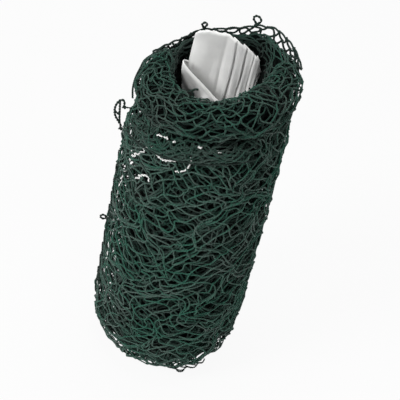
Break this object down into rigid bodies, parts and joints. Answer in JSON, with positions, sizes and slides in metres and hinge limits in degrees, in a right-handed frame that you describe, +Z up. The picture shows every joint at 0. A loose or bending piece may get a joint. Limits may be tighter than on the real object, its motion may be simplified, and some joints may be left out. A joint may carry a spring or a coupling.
{
  "type": "mesh produce bag",
  "caption": "Tall round-bottomed produce bag of dark green knotted net, its mouth rolled outwards round a folded white cotton liner.",
  "frame": {"origin": "centre of the flat ring at the bag's foot, on the surface that the bag stands on", "axes": "+Z up towards the mouth, -Y towards the front where the roll is fattest, +X towards the side where the mouth is tilted up"},
  "size_m": [0.1819, 0.1723, 0.4247],
  "materials": {
    "net_twine": "matte knotted twine",
    "packed_twine": "matte knotted twine in shade",
    "cord": "matte twisted cord",
    "liner_cotton": "plain woven cotton"
  },
  "bodies": {
    "bag": {"outer_net_wall": "net_twine", "base_net": "net_twine", "packed_net": "packed_twine", "packed_net_bottom": "packed_twine", "inner_net_lining": "packed_twine", "inner_net_floor": "packed_twine", "mouth_roll": "net_twine", "rim_lip": "net_twine", "cuff_net": "net_twine", "rim_cord": "cord", "cuff_edge_cord": "cord", "base_gather_cord": "cord", "base_knot": "cord", "side_lacing": "cord", "hang_loop_knots": "cord", "rim_loops": "cord", "side_loop": "cord", "base_loops": "cord"},
    "liner": {"liner_cloth": "liner_cotton", "liner_flap": "liner_cotton"},
    "hang_loop": {"hang_loop": "cord"}
  },
  "joints": [
    {"name": "liner_lift", "type": "slide", "parent": "bag", "child": "liner", "axis": [0, 0, 1], "range_m": [0, 0.4]},
    {"name": "hang_loop_swing", "type": "hinge", "parent": "bag", "child": "hang_loop", "pos_m": [-0.08615, -0.01211, 0.327], "axis": [0, 0, 1], "range_deg": [-65, 65]}
  ]
}
